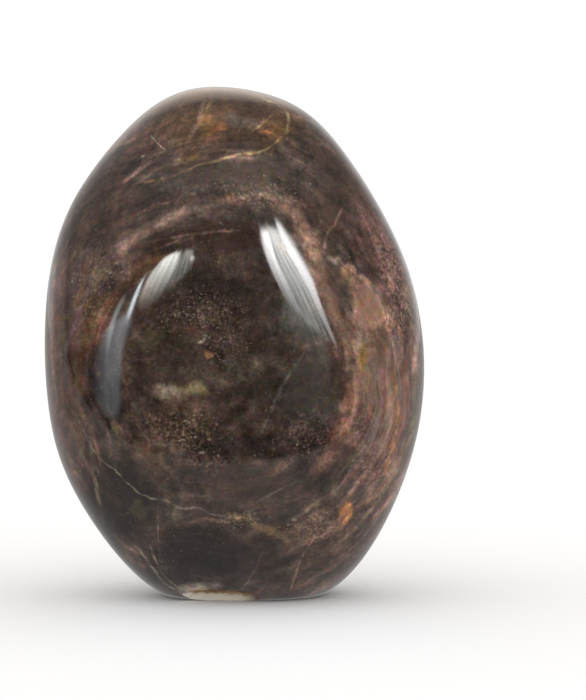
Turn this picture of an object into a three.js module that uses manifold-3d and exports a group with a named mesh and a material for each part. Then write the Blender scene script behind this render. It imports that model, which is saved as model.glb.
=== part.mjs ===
// A freeform of black moonstone: a lump of dark feldspar rock ground by hand to a softly flattened
// egg, polished all over, and sawn flat underneath so that it stands upright on a small spot.
// It is one solid stone. Millimetres, +Z up, the side that the photograph shows faces -Y, and the
// origin is under the middle of the stone, on the plane it stands on.

import * as THREE from "three";
import { mergeVertices } from "three/addons/utils/BufferGeometryUtils.js";
import Module from "manifold-3d";

// The egg that the stone was ground towards, as half sizes from its middle.
const MIDDLE_HEIGHT = 50; // above the sawn base
const EGG = { across: 41.5, deep: 31.5, tall: 56.5 };

// Flats left by the grinding wheel. Each faces the way its turn and rise say, in degrees: turn 0 is
// +X, the right of the photograph, turn 90 is +Y, the back, and rise is above the horizon. Its reach
// is its distance from the egg's middle.
const FLATS = [
  { at: "right", turn: 0, rise: 7, reach: 38 },
  { at: "right shoulder", turn: 0, rise: 33, reach: 38.8 },
  { at: "right foot", turn: 0, rise: -21, reach: 43.1 },
  { at: "left", turn: 180, rise: 0, reach: 38.4 },
  { at: "left shoulder", turn: 180, rise: 43, reach: 46.7 },
  { at: "left foot", turn: 180, rise: -34, reach: 44.8 },
  { at: "crown", turn: 0, rise: 80, reach: 50.6 },
  { at: "under the base", turn: 180, rise: -89, reach: 57.5 },
  { at: "front", turn: -96, rise: -4, reach: 26.8 },
  { at: "front, upper right", turn: -66, rise: 15, reach: 30.3 },
  { at: "front, upper left", turn: -130, rise: 30, reach: 35.9 },
  { at: "front brow", turn: -85, rise: 42, reach: 44 },
  { at: "front foot", turn: -92, rise: -37, reach: 43 },
  { at: "back", turn: 94, rise: -3, reach: 29 },
  { at: "back left", turn: 142, rise: 9, reach: 35 },
  { at: "back right", turn: 38, rise: -8, reach: 36 },
  { at: "back brow", turn: 76, rise: 38, reach: 38.5 },
  { at: "back foot", turn: 104, rise: -37, reach: 40.5 },
];
const ROUNDING = 12; // how crisply the flats meet: higher is crisper

// The shallow scar of a flake that came off the front edge of the sawn base: the stone lacks what an
// egg-shaped hollow of this size, placed in front of the edge, takes out of it.
const SCAR = { x: -3, y: -12.9, z: 0, length: 19, depth: 7.6, height: 5.4, turn: -4 };

const FACETS_PER_EDGE = 18; // the icosahedron's edges are cut into one more than this
const WELD = 1e-4;
const STONE_COLOUR = 0x3d3230;
const POLISH_ROUGHNESS = 0.12;

const radians = THREE.MathUtils.degToRad;

const wasm = await Module();
wasm.setup();

function facing({ turn, rise }) {
  const level = Math.cos(radians(rise));
  return new THREE.Vector3(
    level * Math.cos(radians(turn)),
    level * Math.sin(radians(turn)),
    Math.sin(radians(rise)),
  );
}

const grinds = FLATS.map((flat) => ({ normal: facing(flat), reach: flat.reach }));

// Distance from the egg's middle to the surface, along a unit vector: a high power mean of the egg
// and every flat, so that each flat runs softly into the next.
function reachAlong(way) {
  const egg = Math.hypot(way.x / EGG.across, way.y / EGG.deep, way.z / EGG.tall);
  let sum = egg ** ROUNDING;
  for (const { normal, reach } of grinds) {
    sum += (Math.max(0, way.dot(normal)) / reach) ** ROUNDING;
  }
  return sum ** (-1 / ROUNDING);
}

// A closed three.js geometry as a solid that can be cut.
function solidOf(geometry) {
  const bare = geometry.clone();
  bare.deleteAttribute("normal");
  bare.deleteAttribute("uv");
  const welded = mergeVertices(bare, WELD);
  return new wasm.Manifold(
    new wasm.Mesh({
      numProp: 3,
      vertProperties: welded.attributes.position.array,
      triVerts: new Uint32Array(welded.index.array),
    }),
  );
}

function geometryOf(solid) {
  const mesh = solid.getMesh();
  return new THREE.BufferGeometry()
    .setAttribute("position", new THREE.BufferAttribute(mesh.vertProperties, 3))
    .setIndex(new THREE.BufferAttribute(mesh.triVerts, 1));
}

function groundEgg() {
  const geometry = new THREE.IcosahedronGeometry(1, FACETS_PER_EDGE);
  const places = geometry.attributes.position;
  const way = new THREE.Vector3();
  for (let i = 0; i < places.count; i += 1) {
    way.fromBufferAttribute(places, i).normalize();
    way.multiplyScalar(reachAlong(way));
    places.setXYZ(i, way.x, way.y, way.z + MIDDLE_HEIGHT);
  }
  return geometry;
}

// Everything below the plane that the stone stands on, for the saw to take away.
function belowBase() {
  const side = 4 * EGG.tall;
  return new THREE.BoxGeometry(side, side, side).translate(0, 0, -side / 2);
}

function flake() {
  return new THREE.SphereGeometry(1, 20, 14)
    .scale(SCAR.length / 2, SCAR.depth / 2, SCAR.height / 2)
    .rotateZ(radians(SCAR.turn))
    .translate(SCAR.x, SCAR.y, SCAR.z);
}

function makeStone() {
  const cut = solidOf(groundEgg()).subtract(solidOf(belowBase())).subtract(solidOf(flake()));
  const geometry = geometryOf(cut);
  geometry.computeBoundingBox();
  const { min, max } = geometry.boundingBox;
  geometry.translate(-(min.x + max.x) / 2, -(min.y + max.y) / 2, 0);
  const stone = new THREE.Mesh(
    geometry,
    new THREE.MeshStandardMaterial({
      color: STONE_COLOUR,
      roughness: POLISH_ROUGHNESS,
      metalness: 0,
    }),
  );
  stone.name = "stone";
  return stone;
}

const blackMoonstone = new THREE.Group();
blackMoonstone.add(makeStone());

export default blackMoonstone;
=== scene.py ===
import math

import bmesh
import bpy
import numpy as np
from mathutils import Matrix, Vector, noise


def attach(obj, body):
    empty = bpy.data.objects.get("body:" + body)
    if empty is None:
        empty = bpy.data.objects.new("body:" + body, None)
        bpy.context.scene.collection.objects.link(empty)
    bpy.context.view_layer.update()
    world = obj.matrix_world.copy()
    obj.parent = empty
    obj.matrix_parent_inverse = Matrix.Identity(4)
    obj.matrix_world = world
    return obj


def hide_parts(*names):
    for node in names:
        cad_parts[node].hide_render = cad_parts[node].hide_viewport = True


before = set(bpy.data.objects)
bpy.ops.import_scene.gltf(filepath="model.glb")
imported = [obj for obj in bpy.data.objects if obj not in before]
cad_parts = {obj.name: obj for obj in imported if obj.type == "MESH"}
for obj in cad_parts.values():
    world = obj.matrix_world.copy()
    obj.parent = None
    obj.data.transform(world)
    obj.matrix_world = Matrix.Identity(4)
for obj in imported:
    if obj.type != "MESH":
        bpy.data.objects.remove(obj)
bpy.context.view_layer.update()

# The camera
# It stands in front of the stone, level with its upper half, and looks down on it by three
# degrees. The stone is a little left of the middle of the picture.

MM = 0.001
LOOK_DOWN = math.radians(3)
CAMERA_DISTANCE = 600 * MM
PICTURE_HEIGHT = 137.7 * MM  # what the picture takes in from bottom to top, at the stone
AIM = Vector((11.4, 0, 48.2)) * MM
SENSOR = 36

camera_data = bpy.data.cameras.new("camera")
camera_data.sensor_fit = "VERTICAL"
camera_data.sensor_height = SENSOR
camera_data.sensor_width = SENSOR
camera_data.lens = SENSOR * CAMERA_DISTANCE / PICTURE_HEIGHT
camera_data.clip_start = 10 * MM
camera = bpy.data.objects.new("camera", camera_data)
bpy.context.scene.collection.objects.link(camera)
back_and_up = Vector((0, -math.cos(LOOK_DOWN), math.sin(LOOK_DOWN)))
camera.location = AIM + CAMERA_DISTANCE * back_and_up
camera.rotation_euler = (math.radians(90) - LOOK_DOWN, 0, 0)
bpy.context.scene.camera = camera
bpy.context.scene.view_settings.view_transform = "Standard"

# The stone
# One lump of dark feldspar rock. It was ground by hand towards a flattened egg, which left broad
# soft flats all round, then polished, and sawn flat underneath so that it stands upright.

EGG_MIDDLE = 50 * MM  # above the sawn base
EGG = np.array((41.5, 31.5, 56.5)) * MM  # half sizes across, deep and tall
ROUNDING = 12

# Each flat's turn from +X, its rise above the horizon, both in degrees, and its reach from the
# egg's middle in millimetres.
FLATS = {
    "right": (0, 7, 38),
    "right shoulder": (0, 33, 38.8),
    "right foot": (0, -21, 43.1),
    "left": (180, 0, 38.4),
    "left shoulder": (180, 43, 46.7),
    "left foot": (180, -34, 44.8),
    "crown": (0, 80, 50.6),
    "under the base": (180, -89, 57.5),
    "front": (-96, -4, 26.8),
    "front, upper right": (-66, 15, 30.3),
    "front, upper left": (-130, 30, 35.9),
    "front brow": (-85, 42, 44),
    "front foot": (-92, -37, 43),
    "back": (94, -3, 29),
    "back left": (142, 9, 35),
    "back right": (38, -8, 36),
    "back brow": (76, 38, 38.5),
    "back foot": (104, -37, 40.5),
}
BASE_EDGE = 140  # how crisply the sawn base meets the polished side
HAND_WAVE = 0.05 * MM  # unevenness left by grinding against a wheel by hand
HAND_WAVE_SIZE = 11 * MM

BALL_CUTS = 7
RIM_FROM = math.cos(math.radians(24))  # the finer mesh round the base lies between these slopes
RIM_TO = math.cos(math.radians(9))
RIM_CUTS = 2


def flat_facings():
    turns = np.radians([flat[0] for flat in FLATS.values()])
    rises = np.radians([flat[1] for flat in FLATS.values()])
    level = np.cos(rises)
    return np.stack([level * np.cos(turns), level * np.sin(turns), np.sin(rises)])


def ground_reach(ways):
    """How far the polished surface is from the egg's middle along unit vectors."""
    reaches = np.array([flat[2] for flat in FLATS.values()]) * MM
    egg = np.linalg.norm(ways / EGG, axis=1)
    flats = np.maximum(ways @ flat_facings(), 0) / reaches
    return (egg**ROUNDING + (flats**ROUNDING).sum(axis=1)) ** (-1 / ROUNDING)


def sawn_reach(ways, reach):
    """The same with the saw cut, whose edge is eased by a fraction of a millimetre."""
    downwards = np.maximum(-ways[:, 2], 0) / EGG_MIDDLE
    return ((1 / reach) ** BASE_EDGE + downwards**BASE_EDGE) ** (-1 / BASE_EDGE)


def stone_form():
    form = bmesh.new()
    bmesh.ops.create_icosphere(form, subdivisions=BALL_CUTS, radius=1)
    for _ in range(RIM_CUTS):
        rim = [
            edge
            for edge in form.edges
            if all(RIM_FROM < -vert.co.normalized().z < RIM_TO for vert in edge.verts)
        ]
        bmesh.ops.subdivide_edges(form, edges=rim, cuts=1, use_grid_fill=True)
    bmesh.ops.triangulate(form, faces=form.faces[:])

    ways = np.array([vert.co.normalized() for vert in form.verts])
    ground = ground_reach(ways)
    wave = np.array([noise.noise(Vector(p) / HAND_WAVE_SIZE) for p in ways * ground[:, None]])
    reach = sawn_reach(ways, ground + HAND_WAVE * wave)
    places = ways * reach[:, None] + (0, 0, EGG_MIDDLE)
    places[:, 2] = np.maximum(places[:, 2], 0)
    for vert, place in zip(form.verts, places):
        vert.co = place
    return form


def to_object(form, name, *finishes):
    mesh = bpy.data.meshes.new(name)
    form.to_mesh(mesh)
    form.free()
    made = bpy.data.objects.new(name, mesh)
    bpy.context.scene.collection.objects.link(made)
    for finish in finishes:
        mesh.materials.append(finish)
    return made


def shade(red, green, blue):
    """A colour from its usual 0 to 255 numbers."""
    shown = np.array((red, green, blue)) / 255
    linear = np.where(shown <= 0.04045, shown / 12.92, ((shown + 0.055) / 1.055) ** 2.4)
    return (*linear, 1)


SEAM_SPAN = 220  # millimetres that a seam's curve can reach over, from -110 to 110
SEAM_FADE = 0.08  # the share of its length over which a seam comes and goes at each end


class Finish:
    """A material whose colour, gloss and relief follow from the place in the rock."""

    def __init__(self, name):
        self.material = bpy.data.materials.new(name)
        self.material.use_nodes = True
        self.tree = self.material.node_tree
        self.shader = self.tree.nodes["Principled BSDF"]
        place = self.tree.nodes.new("ShaderNodeTexCoord").outputs["Object"]
        self.place = self.vector("MULTIPLY", place, (1 / MM, 1 / MM, 1 / MM))  # in millimetres

    def feed(self, socket, value):
        if isinstance(value, bpy.types.NodeSocket):
            self.tree.links.new(value, socket)
        else:
            socket.default_value = value

    def number(self, operation, *values):
        node = self.tree.nodes.new("ShaderNodeMath")
        node.operation = operation
        for socket, value in zip(node.inputs, values):
            self.feed(socket, value)
        return node.outputs[0]

    def times(self, first, *others):
        for other in others:
            first = self.number("MULTIPLY", first, other)
        return first

    def vector(self, operation, *values):
        node = self.tree.nodes.new("ShaderNodeVectorMath")
        node.operation = operation
        for socket, value in zip(node.inputs, values):
            self.feed(socket, value)
        return node.outputs["Value" if operation in ("LENGTH", "DOT_PRODUCT") else "Vector"]

    def split(self, vector):
        node = self.tree.nodes.new("ShaderNodeSeparateXYZ")
        self.tree.links.new(vector, node.inputs[0])
        return node.outputs

    def rise(self, value, low, high, to_low=0, to_high=1):
        """A soft step from to_low to to_high as the value goes from low to high."""
        node = self.tree.nodes.new("ShaderNodeMapRange")
        node.interpolation_type = "SMOOTHSTEP"
        sockets = ("Value", "From Min", "From Max", "To Min", "To Max")
        for socket, number in zip(sockets, (value, low, high, to_low, to_high)):
            self.feed(node.inputs[socket], number)
        return node.outputs["Result"]

    def mix(self, share, first, second):
        node = self.tree.nodes.new("ShaderNodeMix")
        node.data_type = "RGBA"
        node.clamp_factor = True
        for index, value in ((0, share), (6, first), (7, second)):
            self.feed(node.inputs[index], value)
        return node.outputs[2]

    def cloud(self, place, size, detail=2, roughness=0.5, coloured=False):
        """Soft noise from 0 to 1, with patches about as large as the size in millimetres."""
        node = self.tree.nodes.new("ShaderNodeTexNoise")
        self.feed(node.inputs["Vector"], place)
        node.inputs["Scale"].default_value = 1 / size
        node.inputs["Detail"].default_value = detail
        node.inputs["Roughness"].default_value = roughness
        return node.outputs[1 if coloured else 0]

    def warped(self, place, size, amount, detail=1):
        """The place pushed about by up to about half the amount, in patches of that size."""
        push = self.vector("SUBTRACT", self.cloud(place, size, detail, coloured=True), (0.5, 0.5, 0.5))
        return self.vector("ADD", place, self.vector("MULTIPLY", push, (amount, amount, amount)))

    def lump(self, place, middle, half, softness=0.6):
        """1 in the middle of an egg-shaped part of the rock, falling to 0 at its outline."""
        apart = self.vector("DIVIDE", self.vector("SUBTRACT", place, middle), half)
        return self.rise(self.vector("LENGTH", apart), 1, 1 - softness)

    def seam(self, place, points, width):
        """1 on a bent sheet that crosses the stone from front to back along the points, else 0.

        The points are (across, up) in millimetres and run steadily across, or else steadily up."""
        across, up = zip(*points)
        upright = abs(up[-1] - up[0]) > abs(across[-1] - across[0])
        along, aside = (up, across) if upright else (across, up)
        at = self.split(place)
        along_now, aside_now = (at["Z"], at["X"]) if upright else (at["X"], at["Z"])
        slope = (aside[-1] - aside[0]) / (along[-1] - along[0])
        half = width / 2 * math.hypot(1, slope)

        curve = self.tree.nodes.new("ShaderNodeFloatCurve")
        curve.mapping.use_clip = False
        line = curve.mapping.curves[0].points
        stations = sorted(zip(along, aside))
        # a new curve already has two points
        for index, (where, value) in enumerate(stations):
            spot = (where / SEAM_SPAN + 0.5, value / SEAM_SPAN + 0.5)
            if index < 2:
                line[index].location = spot
            else:
                line.new(*spot)
            line[index].handle_type = "AUTO_CLAMPED"
        curve.mapping.update()
        self.feed(curve.inputs["Value"], self.number("MULTIPLY_ADD", along_now, 1 / SEAM_SPAN, 0.5))
        middle = self.number("MULTIPLY", self.number("SUBTRACT", curve.outputs[0], 0.5), SEAM_SPAN)
        off = self.number("ABSOLUTE", self.number("SUBTRACT", aside_now, middle))
        fade = SEAM_FADE * (stations[-1][0] - stations[0][0])
        start = self.rise(along_now, stations[0][0] - fade, stations[0][0] + fade)
        end = self.rise(along_now, stations[-1][0] + fade, stations[-1][0] - fade)
        return self.times(self.rise(off, half, 0), start, end)

    def relief(self, height, depth):
        """Makes the light see bumps of this depth in metres, where the height goes from 0 to 1."""
        bump = self.tree.nodes.new("ShaderNodeBump")
        bump.inputs["Distance"].default_value = depth
        self.feed(bump.inputs["Height"], height)
        self.feed(self.shader.inputs["Normal"], bump.outputs["Normal"])

    def specks(self, place, spacing, radius, kept):
        """Small grains this far apart, more or less bright, of which the share kept is there; on the rock
        they are pale grains and painted glints.
        """
        node = self.tree.nodes.new("ShaderNodeTexVoronoi")
        self.feed(node.inputs["Vector"], place)
        node.inputs["Scale"].default_value = 1 / spacing
        chance = self.tree.nodes.new("ShaderNodeSeparateColor")
        self.tree.links.new(node.outputs["Color"], chance.inputs[0])
        brightness = self.rise(chance.outputs[1], 0, 1, 0.15, 1)
        size = self.rise(chance.outputs[2], 0, 1, 0.5 * radius / spacing, radius / spacing)
        near = self.rise(self.number("DIVIDE", node.outputs["Distance"], size), 1, 0.3)
        there = self.number("LESS_THAN", chance.outputs[0], kept)
        return self.times(near, there, brightness)

    def cracks(self, place, spacing, width):
        """1 on thin bent faces that part the rock into blocks about as large as the spacing."""
        node = self.tree.nodes.new("ShaderNodeTexVoronoi")
        node.feature = "DISTANCE_TO_EDGE"
        self.feed(node.inputs["Vector"], place)
        node.inputs["Scale"].default_value = 1 / spacing
        return self.rise(node.outputs["Distance"], width / 2 / spacing, 0)


# The rock's main colours.
HEART = shade(53, 42, 37)
BROWN = shade(58, 46, 39)
GREY_BROWN = shade(68, 56, 49)
PINK_BROWN = shade(82, 63, 55)
COPPER = shade(103, 79, 68)
ORANGE = shade(122, 80, 50)
RUST = shade(98, 70, 54)
OLIVE = shade(73, 52, 36)
GOLD = shade(110, 82, 46)
GREY_GREEN = shade(54, 50, 44)
PALE_PINK = shade(140, 112, 98)
CREAM = shade(142, 130, 112)
GOLD_LINE = shade(148, 120, 86)
DARK_RED = shade(48, 30, 24)

# The broad flanks of the rock, laid under its stripes: the colour, the middle and half sizes in
# millimetres, how much of the half size is a soft edge, and how fully it covers what lies under it.
FLANKS = {
    "right flank": (shade(107, 83, 71), (31, -16, 43), (12, 20, 34), 0.4, 0.9),
    "left flank": (shade(74, 56, 49), (-34, -12, 52), (10, 18, 28), 0.5, 0.75),
    "right edge": (shade(72, 68, 60), (39, -6, 42), (7, 18, 34), 0.6, 0.8),
}

# Patches laid over the stripes, each over the ones before it, given in the same way.
PATCHES = {
    "upper right": (shade(62, 46, 38), (20, -14, 80), (13, 14, 14), 0.5, 0.85),
    "upper left": (shade(58, 41, 34), (-25, -12, 75), (10, 13, 11), 0.5, 0.85),
    "red shoulder": (shade(66, 46, 40), (28, -13, 70), (7, 12, 11), 0.5, 0.85),
    "cap": (OLIVE, (-1, -8, 96), (21, 24, 11.5), 0.35, 0.85),
    "cap, left": (shade(76, 52, 43), (-15, -8, 89), (7, 10, 7), 0.6, 0.8),
    "grey in the cap": (shade(76, 66, 60), (1.5, -16, 93.6), (4, 6, 2.4), 0.6, 0.75),
    "gold, left": (shade(108, 78, 46), (-4.6, -15, 92.4), (4.2, 6, 3.4), 0.7, 0.85),
    "rust, left": (ORANGE, (-3.4, -16.5, 91.2), (2.6, 4, 1), 0.6, 0.9),
    "gold, right": (shade(101, 73, 42), (7.6, -15, 91.2), (3.6, 6, 3), 0.7, 0.8),
    "orange, right": (ORANGE, (5.2, -17, 91.2), (1.8, 4, 1.2), 0.6, 0.9),
    "gold on the vein": (GOLD, (-7.5, -20, 84.6), (3, 5, 1.7), 0.6, 0.85),
    "grey brow": (shade(69, 58, 51), (2, -20, 81.5), (24, 12, 4.6), 0.4, 0.8),
    "pink brow": (shade(80, 64, 55), (0, -24, 76.5), (22, 8, 3), 0.6, 0.6),
    "rust in the brow": (shade(138, 98, 80), (0.6, -25, 77.4), (2.8, 4, 1.8), 0.7, 0.9),
    "under the brow": (shade(50, 36, 30), (2, -26, 71.5), (13, 8, 3.6), 0.5, 0.85),
    "heart": (shade(53, 43, 37), (-1.5, -28, 48.5), (23, 13, 22), 0.3, 0.88),
    "behind the haze": (shade(34, 28, 26), (-24, -22, 42), (5.5, 9, 14), 0.4, 0.9),
    "dark heart": (shade(44, 36, 33), (-2, -27, 63), (11, 6, 6), 0.8, 0.8),
    "pale cloud in the heart": (shade(84, 74, 64), (-2, -27, 45.5), (12, 6, 4), 0.9, 0.55),
    "red in the heart": (shade(66, 42, 37), (-9, -27, 53.5), (5, 6, 1.4), 0.7, 0.6),
    "olive heart": (shade(54, 48, 36), (-14, -27, 52), (6, 6, 4), 0.7, 0.6),
    "grey wedge": (shade(63, 57, 53), (14, -27, 42), (8.5, 8, 9.5), 0.5, 0.75),
    "brown heart": (shade(78, 61, 50), (-10, -26, 37), (6.5, 7, 5.5), 0.6, 0.8),
    "pale heart": (shade(80, 70, 60), (4, -27, 48), (8, 7, 3), 0.8, 0.7),
    "cream patch": (shade(142, 128, 110), (-11.7, -26, 41.6), (3.6, 6, 2.3), 0.9, 0.95),
    "olive patch": (shade(120, 106, 78), (-7.4, -26, 42.2), (3.2, 6, 1.7), 0.9, 0.95),
    "cream blob": (shade(126, 112, 98), (-6.2, -27, 51.5), (1.3, 5, 0.7), 0.8, 0.9),
    "orange blob": (shade(116, 84, 58), (-4.1, -27, 49.6), (1, 5, 1), 0.8, 0.9),
    "under the heart": (shade(50, 39, 34), (0, -26, 24), (22, 10, 5), 0.4, 0.8),
    # partly the rock's own grey, partly a painted reflection: the greenish-grey haze below the window
    # strip's reflection
    "grey and painted reflection under the strip": (shade(68, 64, 60), (9.5, -27, 55.5), (5, 6, 5.5), 0.7, 0.6),
    "dark edge of the heart": (shade(38, 30, 28), (3, -27, 31), (15, 7, 3.6), 0.5, 0.85),
    "foot": (shade(32, 24, 22), (-5, -18, 10), (19, 15, 11), 0.7, 0.95),
    "purple foot": (shade(46, 33, 32), (6, -16, 7), (9, 9, 8), 0.7, 0.7),
    "left foot": (shade(34, 27, 24), (-21, -16, 21), (10, 14, 12), 0.4, 0.92),
    "greenish foot": (shade(66, 60, 44), (-17.5, -21, 17.6), (1.9, 4, 3.2), 0.6, 0.7),
    "right foot": (shade(76, 58, 48), (19, -18, 15), (9, 12, 12), 0.5, 0.75),
    "pale spot by the tongue": (shade(124, 108, 94), (19.2, -24, 67.2), (1.7, 5, 1.3), 0.8, 0.8),
    "bruise by the scar": (shade(176, 160, 146), (-8, -16, 2), (6.5, 8, 2.4), 0.8, 0.8),
    "rust spot": (shade(146, 100, 62), (22, -20, 17.6), (2.1, 4, 3.2), 0.6, 0.9),
    "dark back": (shade(44, 35, 31), (6, 26, 70), (15, 12, 13), 0.4, 0.9),
    "grey back": (GREY_GREEN, (-14, 24, 34), (13, 12, 12), 0.4, 0.85),
    "gold in the back": (GOLD, (-4, 26, 22.5), (7, 9, 3), 0.7, 0.7),
    "dark right side": (BROWN, (36, 10, 66), (10, 13, 14), 0.5, 0.8),
    "dark left side": (HEART, (-37, 10, 44), (10, 12, 12), 0.5, 0.8),
    "copper beside the heart": (shade(118, 92, 78), (24.6, -22, 51), (5.4, 7, 10), 0.5, 0.85),
    "copper tongue, tip": (shade(118, 92, 76), (22, -22, 63.6), (2, 6, 2.6), 0.25, 0.9),
    "copper tongue": (shade(131, 100, 85), (24.2, -22, 60.3), (3, 6, 3.9), 0.2, 0.97),
    "copper tongue, middle": (shade(125, 94, 79), (25.9, -22, 56.8), (3.5, 6, 4.4), 0.2, 0.95),
    "copper tongue, lower": (shade(112, 84, 71), (27.9, -21, 52), (2.5, 6, 4.6), 0.25, 0.9),
    "shade by the tongue": (shade(70, 60, 54), (20.7, -22, 61), (1.7, 6, 4), 0.6, 0.85),
    "pink streaks": (shade(140, 114, 104), (23.4, -22, 52.5), (1.2, 6, 4), 0.7, 0.75),
    "ochre": (shade(136, 103, 64), (24.3, -22, 47.5), (2, 5, 4.4), 0.7, 0.85),
}

# Seams of other mineral that cross the front: the colour, the width in millimetres, how strongly
# the seam shows, and the points that it runs through, across and up.
SEAMS = {
    "red rim": (shade(98, 72, 65), 6, 0.85, (
        (26, 75), (28.5, 68), (31, 61), (33, 54), (34.2, 46))),
    "copper band": (shade(122, 94, 80), 4.8, 0.9, (
        (9.5, 77.5), (11.8, 74.8), (14.2, 70), (15.3, 67), (16.2, 63.5), (17.9, 59), (19.3, 55.7),
        (21.6, 49.5))),
    "purple stripe": (shade(92, 76, 72), 3, 0.6, (
        (26.6, 47), (27.2, 43), (27.6, 38), (27, 33), (25.8, 29))),
    "pink stripe": (PALE_PINK, 1.6, 0.45, (
        (29.2, 49), (29.6, 44), (29.9, 39), (29.6, 34), (28.6, 29))),
    "pink arc, left": (shade(132, 107, 93), 3.4, 0.8, (
        (-21.3, 68.3), (-18.4, 70.6), (-14.6, 72.8), (-11.7, 74.2), (-8.9, 75.5))),
    "pink arc": (shade(132, 107, 93), 2, 0.6, (
        (-9, 75.4), (-6, 76.2), (-3.2, 76.8), (0.9, 78.1), (5.3, 78.5), (10.9, 77.7))),
    "pale line under the arc": (PALE_PINK, 0.9, 0.4, (
        (-15.5, 69.8), (-9.8, 71), (-4.1, 71.7), (1, 72.1))),
    "lower copper": (shade(120, 88, 72), 4.6, 0.85, (
        (22.4, 44), (22, 39), (21.4, 35.5), (19.8, 32), (17.6, 28.5), (15.6, 26))),
    "tongue's edge": (PALE_PINK, 1, 0.9, (
        (20.5, 66), (23.8, 63.3), (27.4, 59.3), (29.2, 55), (30.5, 50.8), (31.2, 46))),
    "orange on the right": (shade(150, 106, 76), 1.5, 0.9, (
        (30.4, 46), (30.9, 42), (31.5, 37.7), (31.2, 33.8), (30.2, 30), (29.1, 26))),
    "red line on the left": (DARK_RED, 1.8, 0.8, (
        (-31, 74), (-31.7, 64), (-31.6, 55), (-31, 47), (-29.8, 40))),
    "pink line on the left": (PALE_PINK, 1.2, 0.4, ((-34.6, 66), (-35, 56), (-34.8, 46), (-34, 40))),
    "gold vein": (GOLD_LINE, 0.9, 0.7, (
        (-17.2, 81.2), (-14.2, 81.5), (-10.9, 82.5), (-8, 83.6), (-6.1, 84.5), (-3.3, 85.1), (0.9, 86.3),
        (5.6, 87), (8.1, 88.6), (10, 90.5))),
    "gold vein, its loop": (GOLD_LINE, 0.8, 0.8, (
        (10, 90.5), (10.5, 92.6), (10.3, 94.4), (8, 96.2), (5.5, 97.4))),
    "rust ray": (PALE_PINK, 1.5, 0.4, ((-10.4, 85.3), (-8.8, 88.8), (-7.1, 92.3), (-5.5, 97))),
    "rust ray, second": (GOLD_LINE, 1.2, 0.4, ((-7.1, 91.1), (-5.6, 94), (-4.2, 97.4))),
    "pale short line": (CREAM, 0.6, 0.55, ((-16.1, 90.2), (-14.5, 88.5), (-12.8, 86.9))),
    "orange line": (GOLD_LINE, 0.7, 0.7, ((3.3, 90.5), (5.2, 92), (7.5, 94))),
    "forked line": (PALE_PINK, 0.9, 0.6, ((20.6, 76), (19.4, 73.3), (17.8, 71.2), (17.3, 68.6))),
    "foot vein": (shade(126, 118, 104), 0.6, 0.6, (
        (-29.5, 36.2), (-27.6, 32.1), (-25.8, 29.2), (-22.4, 26.4), (-19.5, 23.6), (-16.5, 21.5),
        (-12.8, 20.8), (-9, 19.3), (-7.1, 19.6), (-4.3, 18.4), (-1.4, 17.8))),
    "foot vein, gold end": (GOLD_LINE, 2.6, 0.4, (
        (-1.4, 18), (1.4, 17.6), (4.3, 16.3), (7.1, 15.1), (10.9, 13))),
    "thin pale line": (shade(112, 104, 96), 0.7, 0.35, ((4.9, 21), (9, 23.2), (12.8, 24.9))),
    "upright hair": (CREAM, 0.4, 0.2, ((-14.3, 8.7), (-14.3, 14), (-14.2, 21))),
    "left lens": (shade(112, 100, 84), 1.3, 0.55, (
        (-27.2, 33), (-26.9, 29), (-26.5, 25), (-25.9, 21), (-24.9, 16))),
    "curve at the foot": (CREAM, 0.6, 0.6, ((-15.9, 11.7), (-14.1, 6.5), (-11.3, 3.4), (-8.5, 1.9))),
    "outer curve at the foot": (CREAM, 0.7, 0.6, ((-17.9, 10.6), (-15.6, 7), (-13.3, 3.7), (-10.4, 1.8))),
    "slanting line": (PALE_PINK, 0.7, 0.6, ((10.9, 2.4), (12.8, 8.8), (15.7, 13.9))),
    "faint slanting line": (PALE_PINK, 0.6, 0.25, ((1.3, 2.6), (3.6, 6), (5.6, 11.1))),
    "cleavage": (shade(112, 106, 100), 1.1, 0.4, (
        (12.8, 48.3), (10.9, 45.3), (9, 42.1), (7.2, 37.9), (5.6, 34.5))),
    "band over the wedge": (PINK_BROWN, 3, 0.5, ((12.8, 49.6), (16.6, 51.4), (20.4, 48.5))),
}

# Seams that cross the back, given in the same way.
BACK_SEAMS = {
    "copper sheet": (shade(112, 86, 74), 7, 0.85, (
        (-30, 62), (-18, 66), (-4, 61), (10, 50), (24, 42), (32, 40))),
    "dark sheet": (DARK_RED, 5, 0.7, ((-32, 46), (-20, 50), (-6, 48), (8, 38), (20, 29))),
    "pale vein": (CREAM, 0.8, 0.6, ((-24, 84), (-14, 76), (-4, 72), (7, 63), (17, 59), (30, 60))),
    "pale vein, branch": (CREAM, 0.5, 0.5, ((-4, 72), (-3, 60), (1, 48), (0, 36), (4, 24))),
    "gold vein": (GOLD_LINE, 0.8, 0.7, ((-27, 28), (-16, 24), (-8, 26), (2, 20), (12, 19), (21, 14))),
    "rust sheet": (RUST, 3.5, 0.6, ((10, 92), (13, 84), (20, 74), (25, 66))),
}

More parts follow.
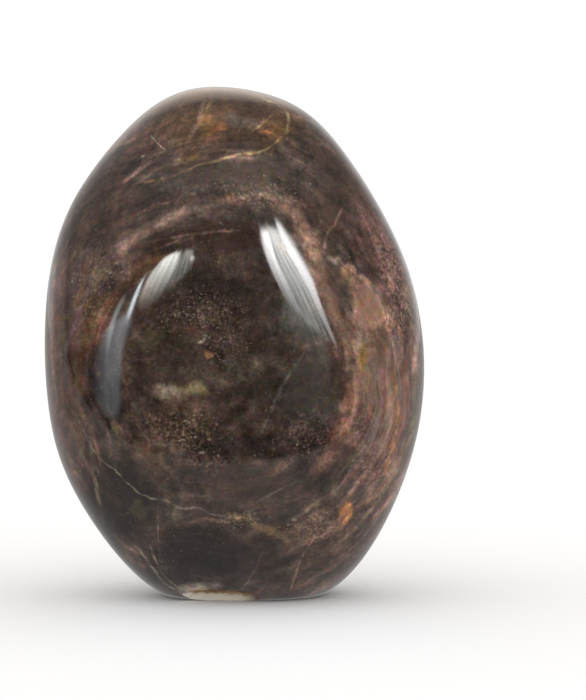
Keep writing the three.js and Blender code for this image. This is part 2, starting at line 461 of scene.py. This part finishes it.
# Where bright grains and painted glints lie close together: the middle, the half sizes, and how close they
# lie.
GRAIN_AND_GLINT_FIELDS = {
    "heart, upper": ((-6.5, -27, 57), (12, 7, 7), 0.5),
    "heart, middle": ((-1, -27, 50.5), (7, 7, 4), 0.35),
    "heart, lower": ((-9, -26, 34), (10, 7, 6.5), 0.6),
    "under the heart": ((-4, -25, 28.5), (8, 6, 3), 0.4),
    "right of the heart": ((14, -26, 33), (8, 6, 6), 0.45),
    "gold end of the vein": ((2, -24, 18), (7, 6, 3), 0.65),
    "right foot": ((15, -22, 15), (9, 8, 5), 0.45),
    "right flank": ((31.5, -16, 61), (5.4, 12, 16), 0.7),
    "right flank, lower": ((27, -20, 32), (7, 10, 14), 0.25),
    "left flank": ((-26, -18, 60), (9, 10, 14), 0.35),
    "brow, right": ((4, -21, 79), (16, 8, 5), 0.35),
    "cap, left": ((-13, -14, 86), (8, 8, 6), 0.2),
    "back, upper": ((-8, 24, 66), (14, 10, 8), 0.4),
    "back, lower": ((12, 22, 32), (10, 10, 12), 0.45),
    "back, left": ((-26, 14, 40), (9, 9, 14), 0.4),
}

# Parts of the rock that are even in tone: the middle, the half sizes, and how much of the mottling
# and of the striping is left there.
CALM_PARTS = {
    "foot": ((-3, -18, 10), (16, 15, 9), 0.35, 0.3),
    "left foot": ((-21, -16, 21), (11, 15, 14), 0.35, 0.3),
    "under the heart": ((4, -26, 24), (14, 10, 5), 0.4, 0.3),
    "grey wedge": ((14, -27, 43), (9, 8, 10), 0.4, 0.4),
    "grey brow": ((0, -20, 82), (20, 12, 4), 0.5, 0.4),
    "cap": ((0, -12, 95), (20, 18, 10), 1, 0.15),
    "left flank": ((-33, -14, 46), (10, 16, 42), 0.7, 0.4),
    "upper left": ((-24, -14, 76), (10, 14, 10), 0.9, 0.4),
    "upper right": ((22, -14, 80), (12, 14, 12), 0.8, 0.5),
    "under the brow": ((2, -27, 71.5), (13, 8, 4), 0.4, 0.4),
    "copper tongue": ((25.2, -21, 58.5), (4.5, 7, 8), 0.3, 0.3),
    "copper band": ((18, -23, 62), (4, 7, 9), 0.4, 0.7),
    "right flank": ((29, -18, 40), (10, 14, 18), 0.35, 0.85),
}

HEART_MIDDLE = (-1.5, -24, 47)  # the layers of the rock are wrapped round this place
CRISP = 0.25  # a patch whose edge is no softer than this has a wavy outline, the others a torn one
WIDE_SEAM = 1.5  # a seam wider than this is hardly broken up along its way


def rock_colour(finish):
    """The colour of the rock at each place, with its layers, patches, seams and grains."""
    place = finish.place
    bent = finish.warped(place, 15, 7)
    torn = finish.warped(bent, 3, 3.6, detail=3)
    wiggled = finish.warped(place, 1.6, 0.7, detail=2)
    facing_front = finish.rise(finish.split(place)["Y"], 3, -7)

    # layers wrapped round the dark heart, seen as rings on the polished front: they change fast
    # outwards from the heart and slowly along the rings
    folded = finish.warped(finish.warped(place, 26, 13), 8, 3)
    from_heart = finish.vector("LENGTH", finish.vector("SUBTRACT", folded, HEART_MIDDLE))
    along = finish.vector("MULTIPLY", bent, (1 / 13, 1 / 13, 1 / 13))
    ring_place = finish.vector("MULTIPLY_ADD", from_heart, (0.32, 0.26, 0.2), along)
    streaks = finish.cloud(ring_place, 1, detail=4, roughness=0.6)
    fine_along = finish.vector("MULTIPLY", bent, (1 / 9, 1 / 9, 1 / 9))
    fine_place = finish.vector("MULTIPLY_ADD", from_heart, (0.5, 0.42, 0.33), fine_along)
    fine_streaks = finish.cloud(fine_place, 1, detail=3, roughness=0.5)
    layered = finish.rise(from_heart, 16, 30, 0.15, 1)

    # broad clouds of the main minerals
    broad = finish.cloud(bent, 17, detail=2)
    colour = finish.mix(finish.rise(broad, 0.4, 0.6), HEART, GREY_BROWN)
    pink = finish.rise(finish.cloud(finish.vector("ADD", bent, (40, 7, 3)), 11, detail=3), 0.5, 0.66)
    colour = finish.mix(finish.times(pink, 0.7), colour, PINK_BROWN)
    colour = finish.mix(finish.times(finish.rise(streaks, 0.55, 0.7), 0.6), colour, COPPER)
    olive = finish.rise(finish.cloud(finish.vector("ADD", bent, (-9, 31, 60)), 13, detail=3), 0.56, 0.7)
    colour = finish.mix(finish.times(olive, 0.7), colour, OLIVE)
    for hue, middle, half, softness, cover in FLANKS.values():
        colour = finish.mix(finish.times(finish.lump(torn, middle, half, softness), cover), colour, hue)

    # stripes of other hues, grey and orange by turns, strongest on the flanks
    flank = finish.rise(finish.number("ABSOLUTE", finish.split(place)["X"]), 14, 28, 0.25, 1)
    grey_stripe = finish.times(finish.rise(fine_streaks, 0.53, 0.62), flank, 0.6)
    colour = finish.mix(grey_stripe, colour, GREY_BROWN)
    warm_stripe = finish.times(finish.rise(fine_streaks, 0.46, 0.37), flank, 0.4)
    colour = finish.mix(warm_stripe, colour, RUST)
    hues = finish.cloud(finish.vector("ADD", fine_place, (7, 3, 5)), 1.2, detail=2, coloured=True)
    stripe_tint = finish.vector("MULTIPLY_ADD", hues, (1.3, 1.05, 1.5), (0.42, 0.53, 0.33))
    striped = finish.vector("MULTIPLY", colour, stripe_tint)
    colour = finish.mix(finish.times(flank, 0.8), colour, striped)

    # patches, then seams, broken up along their way
    for hue, middle, half, softness, cover in PATCHES.values():
        patch = finish.lump(wiggled if softness <= CRISP else torn, middle, half, softness)
        there = finish.times(patch, cover)
        colour = finish.mix(there, colour, hue)

    thin_breaks = finish.rise(finish.cloud(place, 2.2, detail=2), 0.36, 0.58, 0.25, 1)
    wide_breaks = finish.rise(thin_breaks, 0.25, 1, 0.75, 1)
    facing_back = finish.number("SUBTRACT", 1, facing_front)
    for seams, side in ((SEAMS, facing_front), (BACK_SEAMS, facing_back)):
        for hue, width, strength, points in seams.values():
            breaks = wide_breaks if width > WIDE_SEAM else thin_breaks
            there = finish.times(finish.seam(wiggled, points, width), breaks, side, strength)
            colour = finish.mix(there, colour, hue)

    # fine healed cracks, few of them on the front
    crack_places = finish.rise(finish.cloud(place, 7), 0.5, 0.62)
    mostly_back = finish.number("MULTIPLY_ADD", facing_front, -0.8, 1)
    healed = finish.times(finish.cracks(folded, 13, 0.35), crack_places, mostly_back, 0.4)
    colour = finish.mix(healed, colour, PALE_PINK)

    # how many bright grains and painted glints there are
    share = 0.04
    for middle, half, more in GRAIN_AND_GLINT_FIELDS.values():
        share = finish.number("MULTIPLY_ADD", finish.lump(torn, middle, half, 0.7), more, share)

    # light and dark, in powers of two, and a slight tint
    mottle = finish.cloud(finish.warped(place, 2, 1.5), 2, detail=4, roughness=0.62)
    broad_mottle = finish.cloud(finish.warped(place, 6, 5), 6, detail=3, roughness=0.6)
    crumbs = finish.cloud(place, 0.6, detail=2, roughness=0.6)
    mottling = 0
    crumb_strength = finish.number("MULTIPLY_ADD", share, 6, 1.6)
    for grain, strength in ((broad_mottle, 4.5), (mottle, 3.6), (crumbs, crumb_strength)):
        mottling = finish.number("MULTIPLY_ADD", finish.number("SUBTRACT", grain, 0.5), strength, mottling)
    striping = finish.times(finish.number("SUBTRACT", streaks, 0.5), layered, 4)
    fine_strength = finish.times(flank, 3)
    fine_stripes = finish.number("SUBTRACT", fine_streaks, 0.5)
    striping = finish.number("MULTIPLY_ADD", fine_stripes, fine_strength, striping)
    for middle, half, mottling_left, striping_left in CALM_PARTS.values():
        calm = finish.lump(torn, middle, half, 0.8)
        mottling = finish.times(mottling, finish.rise(calm, 0, 1, 1, mottling_left))
        striping = finish.times(striping, finish.rise(calm, 0, 1, 1, striping_left))
    swing = finish.number("ADD", mottling, striping)
    tint = finish.cloud(finish.vector("ADD", place, (5, 50, 5)), 1.3, detail=2, coloured=True)
    tint = finish.vector("MULTIPLY_ADD", tint, (0.9, 0.75, 1.15), (0.7, 0.77, 0.56))
    tint = finish.vector("MULTIPLY", tint, finish.number("POWER", 2, swing))
    colour = finish.vector("MULTIPLY", colour, tint)

    # bright specks, partly pale grains of the rock and partly painted glints of mica: a fine scatter of
    # them, and a few larger flecks of mica
    fine_grains_from = finish.number("MULTIPLY_ADD", share, -0.22, 0.7)
    fine_grains_and_glints = finish.number("SUBTRACT", finish.cloud(place, 0.5, detail=1, roughness=0.6), fine_grains_from)
    fine_grains_and_glints = finish.times(finish.rise(fine_grains_and_glints, 0, 0.14), finish.rise(broad_mottle, 0.3, 0.6, 0.4, 1))
    ragged = finish.warped(finish.vector("MULTIPLY", place, (0.75, 1, 1.2)), 0.5, 0.9, detail=2)
    mica_flecks_and_glints = finish.specks(ragged, 1.1, 0.6, finish.number("MULTIPLY_ADD", share, 0.5, -0.02))
    # the pale grains and the painted glints together, laid over the rock's colour
    grains_and_glints = finish.number("MAXIMUM", finish.times(fine_grains_and_glints, 0.8), finish.times(mica_flecks_and_glints, 0.85))
    grain_and_glint_hue = finish.mix(finish.rise(finish.cloud(place, 4), 0.42, 0.58), CREAM, PALE_PINK)
    return finish.mix(grains_and_glints, colour, grain_and_glint_hue)


def rock_gloss(finish):
    """Polished all over, but for the sawn base, which was only rubbed smooth."""
    sawn = finish.rise(finish.split(finish.place)["Z"], 0.3, 0.08)
    polish = finish.rise(finish.cloud(finish.place, 3, detail=3), 0.3, 0.7, 0.045, 0.085)
    return finish.number("MULTIPLY_ADD", sawn, 0.4, polish)


FELDSPAR_IOR = 1.53
POLISH_RELIEF = 0.003 * MM

rock = Finish("moonstone")
rock.feed(rock.shader.inputs["Base Color"], rock_colour(rock))
rock.feed(rock.shader.inputs["Roughness"], rock_gloss(rock))
rock.relief(rock.cloud(rock.place, 2.5, detail=2), POLISH_RELIEF)
rock.shader.inputs["IOR"].default_value = FELDSPAR_IOR
moonstone = rock.material

polished_stone = to_object(stone_form(), "polished_stone", moonstone)

# The scar
# A flake came off the front edge of the base and left a shallow hollow with a crisp rim. Its dull,
# grainy floor is crushed rock, whitish at the bottom and there painted near white as light from the
# floor, with a rusty crust above, and was never ground or polished.

SCAR_MIDDLE = Vector((-3, -12.9, 0)) * MM
SCAR_SIZE = Vector((19, 7.6, 5.4)) * MM
SCAR_TURN = math.radians(-4)
SCAR_GRAIN = 0.4 * MM
SCAR_GRAIN_SIZE = 1.6 * MM
SCAR_RELIEF = 0.25 * MM
SCAR_CUTS = 6
SHARP_FROM = math.radians(35)

# near white: the crushed mineral's pale colour with painted light from the floor on it
CRUST_WHITE_AND_FLOOR_LIGHT = shade(240, 233, 218)
CRUST_YELLOW = shade(172, 138, 92)
CRUST_BROWN = shade(84, 64, 52)
CRUST_RED = shade(110, 78, 70)


def crust_colour(finish):
    """Whitish crushed mineral at the bottom, painted near white with light from the floor, yellow and
    brown above it, and reddish to the right.
    """
    at = finish.split(finish.warped(finish.place, 1.4, 1.6, detail=3))
    height = finish.number("MULTIPLY_ADD", at["X"], 0.06, at["Z"])
    # near white at the bottom: whitish mineral with painted light from the floor
    colour = finish.mix(finish.rise(height, 0.9, 1.7), CRUST_WHITE_AND_FLOOR_LIGHT, CRUST_YELLOW)
    colour = finish.mix(finish.rise(height, 1.6, 2.2), colour, CRUST_BROWN)
    return finish.mix(finish.rise(at["X"], 1, 5), colour, CRUST_RED)


crust = Finish("broken face")
crust.feed(crust.shader.inputs["Base Color"], crust_colour(crust))
crust.shader.inputs["Roughness"].default_value = 0.8
crust.relief(crust.cloud(crust.place, 0.7, detail=4, roughness=0.65), SCAR_RELIEF)
broken_face = crust.material
polished_stone.data.materials.append(broken_face)

hollow = bmesh.new()
bmesh.ops.create_icosphere(hollow, subdivisions=SCAR_CUTS, radius=0.5)
bmesh.ops.scale(hollow, verts=hollow.verts[:], vec=SCAR_SIZE)
bmesh.ops.rotate(hollow, verts=hollow.verts[:], matrix=Matrix.Rotation(SCAR_TURN, 3, "Z"))
bmesh.ops.translate(hollow, verts=hollow.verts[:], vec=SCAR_MIDDLE)
hollow.normal_update()
for vert in hollow.verts:
    vert.co += vert.normal * SCAR_GRAIN * noise.fractal(vert.co / SCAR_GRAIN_SIZE, 1, 2, 3)
for face in hollow.faces:
    face.material_index = 1
flake = to_object(hollow, "flake", moonstone, broken_face)

cut = polished_stone.modifiers.new("scar", "BOOLEAN")
cut.operation = "DIFFERENCE"
cut.solver = "EXACT"
cut.object = flake
bpy.context.view_layer.update()
scarred = bpy.data.meshes.new_from_object(
    polished_stone.evaluated_get(bpy.context.evaluated_depsgraph_get())
)
polished_stone.modifiers.clear()
polished_stone.data = scarred
bpy.data.objects.remove(flake)

corners = np.array([corner.co for corner in scarred.vertices])
middle = (corners.min(axis=0) + corners.max(axis=0)) / 2
scarred.transform(Matrix.Translation((-middle[0], -middle[1], 0)))
scarred.polygons.foreach_set("use_smooth", [True] * len(scarred.polygons))
scarred.set_sharp_from_angle(angle=SHARP_FROM)

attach(polished_stone, "root")
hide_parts("stone")

# The floor
# A plain pale sheet that the stone stands on. In the studio the sheet ended just in front of the
# stone, so the polish mirrors a short grey sheet with the dark room beyond it.

FLOOR_HALF = 6  # metres
SHEET_FRONT = -106 * MM


def plain_finish(name, tone):
    finish = bpy.data.materials.new(name)
    finish.use_nodes = True
    inputs = finish.node_tree.nodes["Principled BSDF"].inputs
    inputs["Base Color"].default_value = (tone, tone, tone, 1)
    inputs["Roughness"].default_value = 1
    inputs["Specular IOR Level"].default_value = 0
    return finish


def flat_sheet(name, front, finish):
    form = bmesh.new()
    bmesh.ops.create_grid(form, x_segments=1, y_segments=1, size=FLOOR_HALF)
    bmesh.ops.translate(form, verts=form.verts[:], vec=(0, front + FLOOR_HALF, 0))
    sheet = to_object(form, name, finish)
    return sheet


def seen_by_polish_only(thing):
    thing.visible_camera = False
    thing.visible_diffuse = False
    thing.visible_shadow = False
    thing.visible_transmission = False


floor = flat_sheet("floor", -FLOOR_HALF, plain_finish("pale floor", 0.93))
floor.visible_glossy = False
near_sheet = flat_sheet("near_sheet", SHEET_FRONT, plain_finish("grey sheet", 0.45))
far_sheet = flat_sheet("far_sheet", SHEET_FRONT - 2 * FLOOR_HALF, plain_finish("dark room floor", 0.03))
seen_by_polish_only(near_sheet)
seen_by_polish_only(far_sheet)

# The studio
# Soft light from all round. In the polish it is a dim room with a pale ceiling, white paper and a
# lamp behind the stone. Two panes of a window stand to the right, and one pane with a curtain's
# folds and a hazy wall to the left.

ROOM_LIGHT = 1.12
PANE_DISTANCE = -110 * MM

# The panes' light is whole up to the first distance and ends at the second, short of the crest of
# the stone, which would else mirror a bright pane towards the back. Only the faint haze goes on.
PANE_FULL_REACH = 129 * MM
PANE_REACH = 138 * MM

# The lamp that makes the crown pale stands behind the stone, this way, and is a little warm.
CROWN_LAMP_WAY = Vector((-0.12, 0.78, 0.62)).normalized()
WHITE = (1, 1, 1, 1)
WARM_WHITE = (1, 0.89, 0.8, 1)

world = bpy.data.worlds.new("studio")
bpy.context.scene.world = world
world.use_nodes = True
studio = world.node_tree
background = studio.nodes["Background"]


def studio_rise(value, low, high, to_low, to_high):
    """A soft step of brightness, from to_low to to_high as the value goes from low to high."""
    rise = studio.nodes.new("ShaderNodeMapRange")
    rise.interpolation_type = "SMOOTHSTEP"
    studio.links.new(value, rise.inputs["Value"])
    sockets = ("From Min", "From Max", "To Min", "To Max")
    for socket, number in zip(sockets, (low, high, to_low, to_high)):
        rise.inputs[socket].default_value = number
    return rise.outputs["Result"]


def studio_math(operation, first, second):
    node = studio.nodes.new("ShaderNodeMath")
    node.operation = operation
    studio.links.new(first, node.inputs[0])
    studio.links.new(second, node.inputs[1])
    return node.outputs[0]


# What the polish sees in each direction of the room: dim walls, paler behind the stone, the
# ceiling, the paper and the lamp.
way_out = studio.nodes.new("ShaderNodeTexCoord").outputs["Generated"]
way = studio.nodes.new("ShaderNodeSeparateXYZ")
studio.links.new(way_out, way.inputs[0])
walls = studio_rise(way.outputs["Y"], -0.75, -0.1, 0.08, 0.3)
ceiling = studio_rise(way.outputs["Z"], 0.4, 0.52, 0, 0.34)
paper = studio_rise(way.outputs["Y"], 0.3, 1, 0, 0.55)
towards_lamp = studio.nodes.new("ShaderNodeVectorMath")
towards_lamp.operation = "DOT_PRODUCT"
studio.links.new(way_out, towards_lamp.inputs[0])
towards_lamp.inputs[1].default_value = CROWN_LAMP_WAY
crown_glow = studio_rise(towards_lamp.outputs["Value"], 0.88, 1, 0, 0.95)
room = studio_math("MAXIMUM", walls, ceiling)
mirrored = studio_math("ADD", room, studio_math("ADD", paper, crown_glow))

# Everything but the polish sees equally strong light from every side. Near the lamp's direction
# all light is a little warm.
by_polish = studio.nodes.new("ShaderNodeLightPath").outputs["Is Glossy Ray"]
pick = studio.nodes.new("ShaderNodeMix")
pick.data_type = "FLOAT"
studio.links.new(by_polish, pick.inputs["Factor"])
pick.inputs["A"].default_value = ROOM_LIGHT
studio.links.new(mirrored, pick.inputs["B"])
studio.links.new(pick.outputs["Result"], background.inputs["Strength"])
warm = studio.nodes.new("ShaderNodeMix")
warm.data_type = "RGBA"
studio.links.new(studio_rise(towards_lamp.outputs["Value"], 0.86, 0.98, 0, 1), warm.inputs[0])
warm.inputs[6].default_value = WHITE
warm.inputs[7].default_value = WARM_WHITE
studio.links.new(warm.outputs[2], background.inputs["Color"])


def glow(name, radiance, low_radiance, tint, edge, roundness, folds, from_left):
    """Light that changes from low_radiance at the bottom to radiance at the top.

    It fades over the share edge at its outline, which is rounder with a lower roundness, and is
    torn and streaked by the folds of a curtain. With from_left it comes up softly over that share
    of its width instead of from a hard left edge."""
    finish = Finish(name)
    flat = finish.tree.nodes.new("ShaderNodeTexCoord").outputs["UV"]
    at = finish.split(flat)
    centred = finish.vector("MULTIPLY_ADD", flat, (2, 2, 2), (-1, -1, -1))
    outward = finish.split(finish.vector("ABSOLUTE", centred))
    reach = finish.number("ADD", *(finish.number("POWER", outward[axis], roundness) for axis in "XY"))
    fold = finish.cloud(finish.vector("MULTIPLY", flat, (9, 0.8, 1)), 1, detail=2)
    reach = finish.number("POWER", reach, 1 / roundness)
    reach = finish.number("MULTIPLY_ADD", finish.number("SUBTRACT", fold, 0.5), folds, reach)
    strength = finish.rise(at["Y"], 0, 1, low_radiance, radiance)
    strength = finish.times(strength, finish.rise(reach, 1, 1 - edge))
    strength = finish.times(strength, finish.rise(fold, 0.3, 0.7, 1 - folds, 1 + folds))
    if from_left:
        strength = finish.times(strength, finish.rise(at["X"], 0, from_left))
    else:
        away = finish.tree.nodes.new("ShaderNodeLightPath").outputs["Ray Length"]
        strength = finish.times(strength, finish.rise(away, PANE_REACH, PANE_FULL_REACH))
    lamp = finish.tree.nodes.new("ShaderNodeEmission")
    lamp.inputs["Color"].default_value = (*tint, 1)
    finish.feed(lamp.inputs["Strength"], strength)
    clear = finish.tree.nodes.new("ShaderNodeBsdfTransparent")
    both = finish.tree.nodes.new("ShaderNodeAddShader")
    finish.tree.links.new(lamp.outputs[0], both.inputs[0])
    finish.tree.links.new(clear.outputs[0], both.inputs[1])
    output = finish.tree.nodes["Material Output"]
    finish.tree.links.new(both.outputs[0], output.inputs["Surface"])
    finish.tree.nodes.remove(finish.shader)
    return finish.material


def pane(
    name, corners, radiance, low_radiance, tint=(1, 1, 1), edge=0.2, roundness=5, folds=0.3, from_left=0
):
    """A glowing clear pane in front of the stone, a step behind the last one.

    Its corners, (across, up) in millimetres, go round from the lower left."""
    form = bmesh.new()
    form.loops.layers.uv.new("UVMap")
    bmesh.ops.create_grid(form, x_segments=8, y_segments=8, size=0.5, calc_uvs=True)
    low_left, low_right, high_right, high_left = (np.array(corner) for corner in corners)
    for vert in form.verts:
        u, v = vert.co.x + 0.5, vert.co.y + 0.5
        low = low_left + (low_right - low_left) * u
        high = high_left + (high_right - high_left) * u
        across, up = low + (high - low) * v
        vert.co = (across * MM, PANE_DISTANCE - len(panes) * MM, up * MM)
    light = glow(name, radiance, low_radiance, tint, edge, roundness, folds, from_left)
    made = to_object(form, name, light)
    seen_by_polish_only(made)
    panes.append(made)


panes = []
pane("pane_right_outer", ((95, 74), (101, 74), (101, 147), (82, 140)), 30, 3, edge=0.25)
pane("pane_right_inner", ((50, 76), (62, 78), (76, 133), (58, 125)), 26, 2,
     edge=0.4, roundness=4, folds=0.5)
pane("pane_right_between", ((56, 76), (98, 76), (88, 137), (70, 131)), 14, 3, (0.96, 1, 0.97), folds=0.7)
pane("pane_right_tail", ((34, 46), (86, 52), (95, 90), (46, 94)), 1.6, 0.2, (0.9, 1, 0.97),
     edge=0.6, roundness=3)
pane("pane_left", ((-70, 54), (-49, 52), (-46, 97), (-81, 101)), 17, 0.3, (0.97, 1, 0.94),
     edge=0.25, roundness=3, folds=0.5)
pane("pane_left_curtain", ((-52, 57), (-31, 74), (-34, 91), (-49, 97)), 5, 2, (0.93, 1, 0.93),
     edge=0.3, folds=0.9)
pane("pane_left_spot", ((-38, 79), (-31, 79), (-33, 85), (-39, 85)), 12, 8, edge=0.6, roundness=2)
pane("pane_left_line", ((-79, 50), (-71, 50), (-85, 97), (-92, 97)), 14, 20, (0.82, 0.92, 1),
     edge=0.7, roundness=3)
pane("pane_left_band", ((-102, 30), (-88, 30), (-100, 92), (-116, 92)), 5, 3, (0.86, 0.95, 1),
     edge=0.8, roundness=3)
pane("pane_left_haze", ((-140, 0), (-68.5, 0), (-68, 68), (-134, 60)), 3.5, 1.3, (0.8, 0.92, 1),
     edge=0.24, roundness=4, folds=0.15, from_left=0.8)
